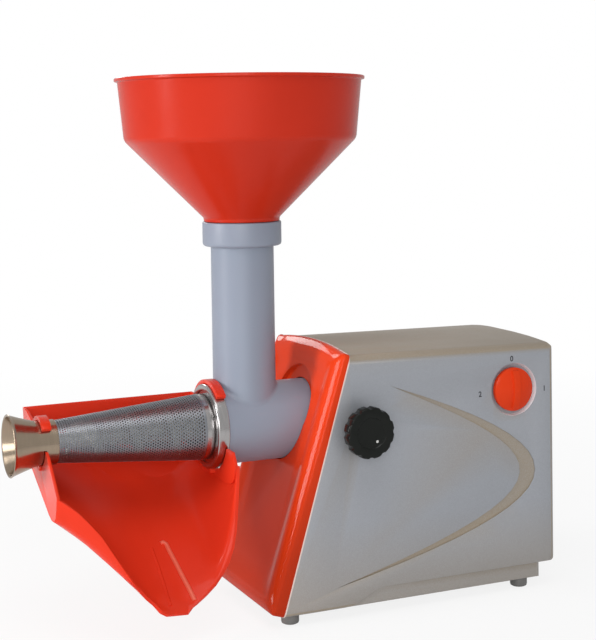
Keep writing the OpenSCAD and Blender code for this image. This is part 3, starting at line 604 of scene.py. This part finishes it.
class PRESS_OT_body(bpy.types.Operator):
    """Makes the neck, its collar and the barrel, with a blend where they meet"""
    bl_idname = "press.body"
    bl_label = "Press body"

    def barrel(self, sizes):
        """Turns the barrel with its chamber, shaft hole and rear pocket, and bores it for the neck."""
        bm = bmesh.new()
        front = -low("press_body").x
        rear = -high("press_body").x
        pocket, pocket_depth = 0.019, 0.008
        shaft_hole = 0.0091
        chamber_end = -0.06
        path = rounded([
            (sizes.chamber_radius, front, 0.0004), (sizes.barrel_radius, front, 0.0006),
            (sizes.barrel_radius, rear, 0.0006), (pocket, rear, 0), (pocket, rear + pocket_depth, 0),
            (shaft_hole, rear + pocket_depth, 0), (shaft_hole, chamber_end, 0),
            (sizes.chamber_radius, chamber_end, 0)])
        lathe(bm, path, PRESS, FRONT, steps=160)
        outward(bm)
        piece = to_object(bm, "neck_and_barrel")
        reach = 0.08
        place = Matrix.Translation(PRESS + UP * reach / 2)
        subtract(piece, rod(sizes.bore_radius, reach, place), "MANIFOLD")
        return piece

    def neck(self, sizes, piece):
        """Adds the neck to the barrel, and draws its lower edge out onto the barrel's surface."""
        bm = bmesh.new()
        top = high("press_body").z
        collar_foot = top - sizes.collar_height
        socket, socket_floor = 0.026, top - 0.009
        skirt_top = 0.045
        inner_foot = 0.016
        steps = 10
        path = rounded([
            (sizes.neck_radius, skirt_top, 0), (sizes.neck_radius, collar_foot, 0.0008),
            (sizes.collar_radius, collar_foot, 0.0036), (sizes.collar_radius, top, 0.0012),
            (socket, top, 0.0006), (socket, socket_floor, 0.0004),
            (sizes.bore_radius, socket_floor, 0.0005), (sizes.bore_radius, inner_foot, 0)], closed=False)
        lathe(bm, path, PRESS, UP, closed=False, steps=160)
        edge = [e for e in bm.edges if e.is_boundary and all(
            abs(v.co.z - PRESS.z - skirt_top) < 1e-5 for v in e.verts)]
        for step in range(steps):
            edge = edges_of(bmesh.ops.extrude_edge_only(bm, edges=edge)["geom"])
            for vert in {v for e in edge for v in e.verts}:
                self.blend_vertex(vert, sizes, (step + 1) / steps)
        outward(bm)
        bm.from_mesh(piece.data)
        bm.to_mesh(piece.data)
        bm.free()

    def blend_vertex(self, vert, sizes, share):
        """Puts a vertex on the rounded blend from the neck's side to the barrel's surface."""
        smallest, sunk = 0.0004, 0.00004
        way = (vert.co - PRESS).xy.normalized()
        reach = sizes.barrel_radius
        fillet = sizes.fillet
        if way.x < 0:
            room = -low("press_body").x / max(-way.x, 1e-6) - sizes.neck_radius
            fillet = min(fillet, max(smallest, room))
        foot = way * sizes.neck_radius
        corner = math.sqrt(max(reach ** 2 - foot.y ** 2, 0))
        out = way * (sizes.neck_radius + fillet)
        landing = math.sqrt(max(reach ** 2 - min(abs(out.y), reach * 0.999) ** 2, 0))
        start = Vector((foot.x, foot.y, corner + fillet))
        middle = Vector((foot.x, foot.y, corner))
        end = Vector((out.x, out.y, landing - sunk))
        vert.co = PRESS + start * (1 - share) ** 2 + middle * 2 * share * (1 - share) + end * share ** 2

    def execute(self, context):
        sizes = context.scene.press_body
        piece = self.barrel(sizes)
        self.neck(sizes, piece)
        finish_piece(piece, "machine", "grey_plastic", ["press_body"], 35)
        return {"FINISHED"}


class PRESS_OT_sieve(bpy.types.Operator):
    """Makes the perforated cone from one cell with a hole, repeated and wrapped round the press axis"""
    bl_idname = "press.sieve"
    bl_label = "Sieve"

    def cell(self, bm, hole):
        """One slanted cell, one unit wide and one unit high, with a round hole in its middle."""
        inner = bmesh.ops.create_circle(bm, segments=8, radius=hole)["verts"]
        outer = bmesh.ops.create_circle(bm, segments=8, radius=0.5)["verts"]
        for vert in outer:
            x, y = vert.co.x, vert.co.y
            square = max(abs(x), abs(y))
            vert.co = vert.co * (0.5 / square)
            vert.co.x += vert.co.y * 0.5
        edges = {e for v in inner + outer for e in v.link_edges}
        bmesh.ops.bridge_loops(bm, edges=list(edges))

    def repeat(self, bm, count, step):
        """Repeats the mesh count times, a step apart, and joins the copies."""
        base = bm.verts[:] + bm.edges[:] + bm.faces[:]
        for i in range(1, count):
            made = bmesh.ops.duplicate(bm, geom=base)["geom"]
            bmesh.ops.translate(
                bm, vec=step * i, verts=[g for g in made if isinstance(g, bmesh.types.BMVert)])
        bmesh.ops.remove_doubles(bm, verts=bm.verts, dist=1e-4)

    def execute(self, context):
        sizes = context.scene.press_sieve
        bm = bmesh.new()
        self.cell(bm, sizes.hole)
        self.repeat(bm, sizes.around, Vector((1, 0, 0)))
        self.repeat(bm, sizes.rings, Vector((0.5, 1, 0)))
        start = -high("sieve_cone").x
        wide_end = 0.0415
        narrow_end = 0.1595
        margin = 0.0012
        first = wide_end + margin
        last = narrow_end - margin
        for vert in bm.verts:
            turn = vert.co.x / sizes.around * math.tau
            along = first + (last - first) * (vert.co.y + 0.5) / sizes.rings
            slope = (along - wide_end) / (narrow_end - wide_end)
            radius = sizes.wide_radius + (sizes.narrow_radius - sizes.wide_radius) * slope
            vert.co = PRESS + Vector((-along, radius * math.cos(turn), radius * math.sin(turn)))
        bmesh.ops.remove_doubles(bm, verts=bm.verts, dist=1e-5)
        outward_cone(bm)
        bmesh.ops.solidify(bm, geom=bm.faces[:], thickness=sizes.wall)
        self.bands(bm, sizes, wide_end, narrow_end, margin, start)
        finish_piece(to_object(bm, "sieve_sheet"), "machine", "steel", ["sieve_cone"], 35, "sieve_steel")
        return {"FINISHED"}

    def bands(self, bm, sizes, wide_end, narrow_end, margin, start):
        """The plain bands at both ends of the perforation."""
        ends = bmesh.new()
        fall = (sizes.wide_radius - sizes.narrow_radius) / (narrow_end - wide_end)
        inner = sizes.wall
        near = sizes.wide_radius - margin * fall
        path = rounded([
            (sizes.wide_radius - inner, start, 0), (sizes.wide_radius, start, 0),
            (sizes.wide_radius, wide_end, 0.002), (near, wide_end + margin, 0),
            (near - inner, wide_end + margin, 0), (sizes.wide_radius - inner, wide_end, 0.002)])
        lathe(ends, path, PRESS, FRONT)
        far = sizes.narrow_radius + margin * fall
        tail = narrow_end + 0.004
        path = rounded([
            (far - inner, narrow_end - margin, 0), (far, narrow_end - margin, 0),
            (sizes.narrow_radius, narrow_end, 0), (sizes.narrow_radius, tail, 0.0003),
            (sizes.narrow_radius - inner, tail, 0.0003), (sizes.narrow_radius - inner, narrow_end, 0)])
        lathe(ends, path, PRESS, FRONT)
        outward(ends)
        add_mesh(bm, ends)


def outward_cone(bm):
    """Turns the faces of an open cone away from the press axis."""
    outward(bm)
    bm.faces.ensure_lookup_table()
    face = bm.faces[0]
    away = face.calc_center_median() - PRESS
    away.x = 0
    bm.normal_update()
    if face.normal.dot(away) < 0:
        bmesh.ops.reverse_faces(bm, faces=bm.faces[:])


class PRESS_OT_steel_rings(bpy.types.Operator):
    """Turns the flange and the flared waste mouth"""
    bl_idname = "press.steel_rings"
    bl_label = "Flange and waste mouth"

    def execute(self, context):
        face = -low("sieve_flange").x
        back = -high("sieve_flange").x
        radius = high("sieve_flange").y
        band = face - 0.0095
        sleeve, sleeve_bore = 0.0257, 0.0245
        groove, groove_floor = 0.0282, face - 0.0012
        spout, spout_end = 0.0258, face + 0.006
        path = rounded([
            (sleeve_bore, back, 0), (sleeve, back, 0), (sleeve, band, 0), (radius, band, 0.0006),
            (radius, face, 0.0016), (groove, face, 0.0008), (groove, groove_floor, 0.0002),
            (spout, groove_floor, 0), (spout, spout_end, 0), (sleeve_bore, spout_end, 0)])
        self.turn(path, "flange_ring", "sieve_flange", 35)

        near = -high("waste_mouth").x
        far = -low("waste_mouth").x
        lip = high("waste_mouth").y
        neck = 0.017
        wall = 0.0011
        seat, seat_end = 0.0158, near + 0.004
        steps = 12
        flare = []
        for i in range(steps + 1):
            share = i / steps
            flare.append((neck + (lip - neck - 0.0006) * share ** 1.2, far - 0.0215 + 0.0205 * share, 0))
        inner = [(r - wall, d, 0) for r, d, _ in flare]
        inner[-1] = (inner[-1][0], inner[-1][1] + 0.0004, 0)
        path = rounded([
            (seat + 0.0004, near, 0), (neck, near, 0.0005), *flare, (lip, far - 0.0006, 0.0004),
            (lip - 0.0004, far, 0.0004), *reversed(inner), (neck - wall, seat_end, 0),
            (seat, seat_end, 0)])
        # The flared mouth takes the warm steel of the painted reflection.
        self.turn(path, "flared_mouth", "waste_mouth", 40, "mouth_steel_painted_reflection")
        return {"FINISHED"}

    def turn(self, path, name, node, sharp, finish="steel"):
        """Turns a steel piece round the press axis."""
        bm = bmesh.new()
        lathe(bm, path, PRESS, FRONT)
        outward(bm)
        finish_piece(to_object(bm, name), "machine", "steel", [node], sharp, finish)


class PRESS_OT_bezel(bpy.types.Operator):
    """Draws the bezel's outline forward and down into the dish, and cuts the barrel's hole"""
    bl_idname = "press.bezel"
    bl_label = "Bezel"

    def outline(self, inset):
        """Points of the housing's outline across the leaning seam, drawn in by an inset."""
        half = -low("housing").y - inset
        top = 0.0575 - inset
        bottom = low("housing").z + inset
        crown = 0.004
        corner = 0.008 - inset * 0.12
        belly = 0.004 + inset * 0.5
        span = half - corner - 0.0005
        steps = 9
        corners = [(-half, bottom, belly), (half, bottom, belly), (half, top, corner)]
        for i in range(steps, -steps - 1, -1):
            share = i / steps
            corners.append((span * share, top + crown * (1 - share * share), 0))
        corners.append((-half, top, corner))
        return rounded(corners)

    def place(self, point, height, wedge=0.0):
        """A point of the outline at a height over the seam, tilted so that the foot gets thicker."""
        rise = point.y / math.cos(LEAN)
        up = rise * math.cos(wedge) + height * math.sin(wedge)
        out = height * math.cos(wedge) - rise * math.sin(wedge)
        return PRESS + SEAM - NEAR * point.x + FACE_UP * up + FACE_OUT * out

    def layers(self, sizes):
        """The inset and height of each loop: up the edge, over the facet and down into the dish."""
        facet, depth, slope, dish = sizes.facet, sizes.depth, sizes.slope, sizes.dish
        start = depth - sizes.facet_rise
        layers = [(0, start - 0.0014), (0.0003, start - 0.0005)]
        for i in range(1, 6):
            share = i / 6
            bulge = 0.0006 * share * (1 - share)
            layers.append((facet * share - bulge, start + sizes.facet_rise * share + bulge))
        layers += [(facet + 0.0006, depth - 0.0002), (facet + 0.0018, depth)]
        for i in range(1, 9):
            share = i / 8
            ease = share * share * (3 - 2 * share)
            layers.append((facet + 0.0024 + slope * share, depth - dish * ease))
        return layers + [(facet + slope + 0.008, depth - dish)]

    def execute(self, context):
        sizes = context.scene.press_bezel
        seam_gap = 0.0012
        bm = bmesh.new()
        loop = [bm.verts.new(self.place(point, seam_gap)) for point in self.outline(0)]
        edges = [bm.edges.new((loop[i - 1], loop[i])) for i in range(len(loop))]
        back = edges
        for inset, height in self.layers(sizes):
            edges = edges_of(bmesh.ops.extrude_edge_only(bm, edges=edges)["geom"])
            target = self.outline(inset)
            order = {vert: i for i, vert in enumerate(loop)}
            for vert in {v for e in edges for v in e.verts}:
                behind = [e.other_vert(vert) for e in vert.link_edges]
                i = next(order[v] for v in behind if v in order)
                vert.co = self.place(target[i], height, sizes.wedge)
                loop[i] = vert
        bmesh.ops.contextual_create(bm, geom=edges)
        bmesh.ops.contextual_create(bm, geom=back)
        outward(bm)
        piece = to_object(bm, "dished_bezel")
        self.cut(piece, sizes)
        finish_piece(piece, "machine", "red_gloss", ["front_bezel"], 30)
        return {"FINISHED"}

    def cut(self, piece, sizes):
        """Cuts the barrel's hole and the crescent recess above it, and rounds their edges."""
        along = Matrix.Rotation(math.radians(90), 4, "Y")
        place = Matrix.Translation(PRESS + BACK * 0.05) @ along
        subtract(piece, rod(sizes.hole, 0.12, place), "EXACT")
        floor = sizes.depth - sizes.dish - sizes.recess_depth
        reach = 0.04
        spot = PRESS + SEAM + UP * sizes.recess_rise + FACE_OUT * (floor + reach / 2)
        leaning = UP.rotation_difference(FACE_OUT).to_matrix().to_4x4()
        subtract(piece, rod(sizes.recess, reach, Matrix.Translation(spot) @ leaning), "EXACT")
        bevel = piece.modifiers.new("rounding", "BEVEL")
        bevel.width = 0.0012
        bevel.segments = 3
        bevel.limit_method = "ANGLE"
        bevel.angle_limit = math.radians(50)
        apply_modifiers(piece)


class PRESS_OT_marks(bpy.types.Operator):
    """Prints plain numbers round the switch and a plain dot on the hand knob"""
    bl_idname = "press.marks"
    bl_label = "Marks"

    def upright(self, x, y, z):
        """A matrix that stands a flat mark up, facing the near side."""
        return Matrix.Translation(PRESS + Vector((x, y, z))) @ Matrix.Rotation(math.radians(90), 4, "X")

    def execute(self, context):
        number_lift, dot_lift = 0.00004, 0.00003
        for text, x, z in (("0", 0.2086, 0.0436), ("2", 0.1785, 0.0170), ("1", 0.2397, 0.0167)):
            curve = bpy.data.curves.new("number", "FONT")
            curve.body = text
            curve.size = 0.0062
            curve.offset = 0.00012
            curve.align_x = "CENTER"
            curve.align_y = "CENTER"
            bm = bmesh.new()
            bm.from_mesh(curve_mesh(curve))
            place = self.upright(x, low("housing").y - number_lift, z)
            bmesh.ops.transform(bm, matrix=place, verts=bm.verts)
            finish_piece(to_object(bm, "number_" + text), "machine", "ink")
        bm = bmesh.new()
        bmesh.ops.create_circle(
            bm, cap_ends=True, segments=24, radius=0.0011,
            matrix=self.upright(CLAMP.x - PRESS.x + 0.0045, low("clamp_knob").y - dot_lift, -0.0065))
        body = frame["nodes"]["clamp_knob"]["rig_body"]
        finish_piece(to_object(bm, "knob_dot"), body, "white_mark")
        return {"FINISHED"}


class PRESS_OT_shells(bpy.types.Operator):
    """Rounds the edges of the housing, trim, base pan, feet, tray, switch and hand knob"""
    bl_idname = "press.shells"
    bl_label = "Shells"

    def execute(self, context):
        for node, name, width, slot, angle in (
                ("housing", "housing_shell", 0.0006, "silver_plastic", 50),
                # The pale seam strip is a painted highlight along the bezel's edge.
                ("seam_trim", "seam_strip_painted_highlight", 0.0002, "pale_trim", 50),
                ("base_pan", "base_shell", 0.0006, "silver_plastic", 50),
                ("rubber_feet", "feet", 0.0012, "rubber", 50),
                ("splash_tray", "juice_tray", 0.0006, "red_satin", 22),
                ("switch_knob", "domed_switch", 0.0008, "red_gloss", 50),
                ("clamp_knob", "fluted_knob", 0.0008, "black_plastic", 50)):
            piece = skin(node, name, width, angle)
            tray = node == "splash_tray"
            if tray:
                self.soften(piece)
            apply_modifiers(piece)
            body = frame["nodes"][node]["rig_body"]
            # The tray takes the brighter copy of satin red, as painted light.
            finish_piece(piece, body, slot, [node], 30, "tray_red_painted_light" if tray else slot)
            if tray:
                self.beads(piece, body)
            if node == "housing":
                self.paint_hollows(piece)
        return {"FINISHED"}

    def soften(self, piece):
        """Rounds the folds of the tray's sheet and leaves its edges where they are."""
        passes = 14
        steepest = math.radians(48)
        bm = bmesh.new()
        bm.from_mesh(piece.data)
        free = [v for v in bm.verts if all(
            e.is_manifold and e.calc_face_angle() < steepest for e in v.link_edges)]
        for _ in range(passes):
            bmesh.ops.smooth_vert(
                bm, verts=free, factor=0.5, use_axis_x=True, use_axis_y=True, use_axis_z=True)
        bm.to_mesh(piece.data)
        bm.free()

    def beads(self, tray, body):
        """Lays the gutter's two raised beads on the tray's floor."""
        spacing = 0.003
        tree = BVHTree.FromObject(tray, bpy.context.evaluated_depsgraph_get())
        for name, finish, radius, sink, route in (
                # The right bead takes the pale red of a painted highlight.
                ("gutter_bead", "bead_red_painted_highlight", 0.0018, 0.0004, (
                    (-0.0765, -0.0115), (-0.0742, -0.0112), (-0.0725, -0.0135), (-0.0719, -0.020),
                    (-0.0708, -0.0286), (-0.0696, -0.041), (-0.068, -0.0539), (-0.0671, -0.0615))),
                ("gutter_edge", "tray_red_painted_light", 0.0016, 0.0010, (
                    (-0.085, -0.014), (-0.0846, -0.0284), (-0.0851, -0.0445), (-0.0862, -0.061)))):
            curve = bpy.data.curves.new(name, "CURVE")
            curve.dimensions = "3D"
            curve.bevel_depth = radius
            curve.bevel_resolution = 3
            curve.use_fill_caps = True
            points = []
            for start, end in zip(route, route[1:]):
                start, end = Vector(start), Vector(end)
                count = max(1, round((end - start).length / spacing))
                points += [start.lerp(end, k / count) for k in range(count)]
            points.append(Vector(route[-1]))
            spline = curve.splines.new("POLY")
            spline.points.add(len(points) - 1)
            for point, (x, y) in zip(spline.points, points):
                above = PRESS + Vector((x, y, -0.04))
                spot = tree.ray_cast(above, -UP)[0]
                point.co = (*(spot - UP * sink), 1)
            bead = bpy.data.objects.new(name, curve_mesh(curve))
            bpy.context.scene.collection.objects.link(bead)
            finish_piece(bead, body, "red_satin", finish=finish)

    def paint_hollows(self, piece):
        """Paints the floor of the curved side grooves warmer, and the switch's dish brighter as a painted
        highlight.
        """
        piece.data.materials.append(FINISHES["groove"])
        piece.data.materials.append(FINISHES["dish"])
        groove, dish = 1, 2
        half = -low("housing").y
        roof_foot = 0.045
        switch_reach = 0.03
        for face in piece.data.polygons:
            place = face.center - PRESS
            deep = half - abs(place.y)
            sideways = abs(face.normal.y)
            # Faces in the dish round the switch take the bright silver of the painted highlight.
            if place.y < 0 and (face.center - SWITCH).length <= switch_reach:
                if 0.0002 < deep < 0.008 and sideways < 0.98:
                    face.material_index = dish
            elif 0.0003 < deep < 0.0012 and sideways > 0.5 and place.z < roof_foot:
                face.material_index = groove


class PRESS_OT_finish_nodes(bpy.types.Operator):
    """Gives every CAD node the finish of its own slot"""
    bl_idname = "press.finish_nodes"
    bl_label = "Finish the inner pieces"

    def execute(self, context):
        for part in frame["record"]["subparts"]:
            node = frame["nodes"][part["node"]]
            node.data.materials.clear()
            node.data.materials.append(FINISHES[part["material_slot"]])
            node.data.shade_smooth()
            node.data.set_sharp_from_angle(angle=math.radians(30))
        return {"FINISHED"}


class PRESS_OT_stage(bpy.types.Operator):
    """Sets the floor, the lights and the camera"""
    bl_idname = "press.stage"
    bl_label = "Stage"

    def camera(self, context):
        """Looks at the press from its near left, with the frame shifted down."""
        data = bpy.data.cameras.new("camera")
        eye = bpy.data.objects.new("camera", data)
        context.scene.collection.objects.link(eye)
        yaw, pitch, roll = 0.41743664, 0.03728421, -0.01489639
        way = Vector((math.sin(yaw) * math.cos(pitch), math.cos(yaw) * math.cos(pitch), -math.sin(pitch)))
        right = Vector((math.cos(yaw), -math.sin(yaw), 0))
        upward = right.cross(way)
        turned_right = right * math.cos(roll) + upward * math.sin(roll)
        turned_up = upward * math.cos(roll) - right * math.sin(roll)
        place = PRESS + Vector((-0.42321, -1.06558, 0.23176))
        rows = Matrix((turned_right, turned_up, -way)).transposed()
        eye.matrix_world = Matrix.Translation(place) @ rows.to_4x4()
        picture_height = 640
        focal_length, centre_height = 1442.806, 184.99
        data.sensor_fit = "VERTICAL"
        data.sensor_height = 36
        data.lens = focal_length * data.sensor_height / picture_height
        data.shift_y = -(picture_height / 2 - centre_height) / picture_height
        data.clip_start = 0.01
        context.scene.camera = eye

    def floor(self, context):
        """A pale floor that shows nearly white, with a soft shadow round the object."""
        bm = bmesh.new()
        bmesh.ops.create_grid(bm, x_segments=1, y_segments=1, size=30)
        ground = to_object(bm, "floor")
        finish = Finish("pale floor", Roughness=0.7, Specular_IOR_Level=0.1)
        finish.paint((0.9, 0.9, 0.9))
        path = finish.node("ShaderNodeLightPath", {})
        glow = finish.node("ShaderNodeEmission", {}, (1, 1, 1), 1.0)
        length = finish.node("ShaderNodeVectorMath", {"operation": "LENGTH"}, finish.place())
        away = finish.ramp(Field(finish, length.outputs["Value"]), 0.3, 1.2)
        seen = Field(finish, path.outputs["Is Camera Ray"]) * (0.84 + 0.16 * away)
        mirror = Field(finish, path.outputs["Is Glossy Ray"]) * 0.35
        mix = finish.node("ShaderNodeMixShader", {})
        finish.feed(mix.inputs[0], seen + mirror)
        finish.tree.links.new(finish.shader.outputs[0], mix.inputs[1])
        finish.tree.links.new(glow.outputs[0], mix.inputs[2])
        finish.tree.links.new(mix.outputs[0], finish.tree.nodes["Material Output"].inputs["Surface"])
        ground.data.materials.append(finish.material)

    def lamp(self, context, name, place, aim, power, size, size_y):
        data = bpy.data.lights.new(name, "AREA")
        data.shape = "RECTANGLE"
        data.energy = power
        data.size = size
        data.size_y = size_y
        made = bpy.data.objects.new(name, data)
        context.scene.collection.objects.link(made)
        way = (Vector(aim) - Vector(place)).normalized()
        made.matrix_world = Matrix.Translation(place) @ way.to_track_quat("-Z", "Y").to_matrix().to_4x4()

    def world(self, context, strength):
        world = bpy.data.worlds.new("studio")
        context.scene.world = world
        world.use_nodes = True
        tree = world.node_tree
        background = tree.nodes["Background"]
        path = tree.nodes.new("ShaderNodeLightPath")
        seen = tree.nodes.new("ShaderNodeMath")
        seen.operation = "MULTIPLY_ADD"
        tree.links.new(path.outputs["Is Glossy Ray"], seen.inputs[0])
        seen.inputs[1].default_value = 0.4
        tree.links.new(path.outputs["Is Camera Ray"], seen.inputs[2])
        level = tree.nodes.new("ShaderNodeMapRange")
        level.inputs["To Min"].default_value = strength
        level.inputs["To Max"].default_value = 1.0
        tree.links.new(seen.outputs[0], level.inputs["Value"])
        tree.links.new(level.outputs[0], background.inputs["Strength"])
        background.inputs["Color"].default_value = (1, 1, 1, 1)

    def execute(self, context):
        stage = context.scene.press_stage
        context.scene.view_settings.view_transform = "Standard"
        self.camera(context)
        self.floor(context)
        self.world(context, stage.world)
        self.lamp(context, "key", (-1.72, 0.05, 0.58), (0, 0, 0.15), stage.key, 0.36, 0.85)
        self.lamp(context, "top", (-0.35, -0.8, 1.8), (0, 0, 0.1), stage.top, 1.2, 1.0)
        self.lamp(context, "fill", (-0.8, -1.6, 0.6), (0, 0, 0.12), stage.fill, 0.9, 0.8)
        self.lamp(context, "rim", (-0.2, 1.75, 1.0), (0, 0, 0.2), stage.rim, 0.6, 0.4)
        return {"FINISHED"}


class PRESS_PT_sidebar(bpy.types.Panel):
    """Lists the press's sizes, colours and operators"""
    bl_idname = "PRESS_PT_sidebar"
    bl_label = "Tomato press"
    bl_space_type = "VIEW_3D"
    bl_region_type = "UI"
    bl_category = "Press"

    def draw(self, context):
        for operator in OPERATORS:
            self.layout.operator(operator.bl_idname)
        for name in SETTINGS:
            group = getattr(context.scene, name)
            box = self.layout.box()
            for key in group.__annotations__:
                box.prop(group, key)


OPERATORS = (
    PRESS_OT_finish_nodes, PRESS_OT_hopper, PRESS_OT_body, PRESS_OT_sieve, PRESS_OT_steel_rings,
    PRESS_OT_bezel, PRESS_OT_shells, PRESS_OT_marks, PRESS_OT_stage)
SETTINGS = {
    "press_hopper": HopperSizes, "press_body": BodySizes, "press_bezel": BezelSizes,
    "press_sieve": SieveSizes, "press_colours": PaintColours, "press_stage": StageSizes}


def register():
    for group in SETTINGS.values():
        bpy.utils.register_class(group)
    for name, group in SETTINGS.items():
        setattr(bpy.types.Scene, name, PointerProperty(type=group))
    for operator in OPERATORS:
        bpy.utils.register_class(operator)
    bpy.utils.register_class(PRESS_PT_sidebar)


def unregister():
    bpy.utils.unregister_class(PRESS_PT_sidebar)
    for operator in reversed(OPERATORS):
        bpy.utils.unregister_class(operator)
    for name in SETTINGS:
        delattr(bpy.types.Scene, name)
    for group in reversed(SETTINGS.values()):
        bpy.utils.unregister_class(group)


def main():
    register()
    make_finishes(bpy.context.scene.press_colours)
    bpy.ops.press.stage()
    bpy.ops.press.finish_nodes()
    bpy.ops.press.hopper()
    bpy.ops.press.body()
    bpy.ops.press.sieve()
    bpy.ops.press.steel_rings()
    bpy.ops.press.bezel()
    bpy.ops.press.shells()
    bpy.ops.press.marks()


if __name__ == "__main__":
    main()
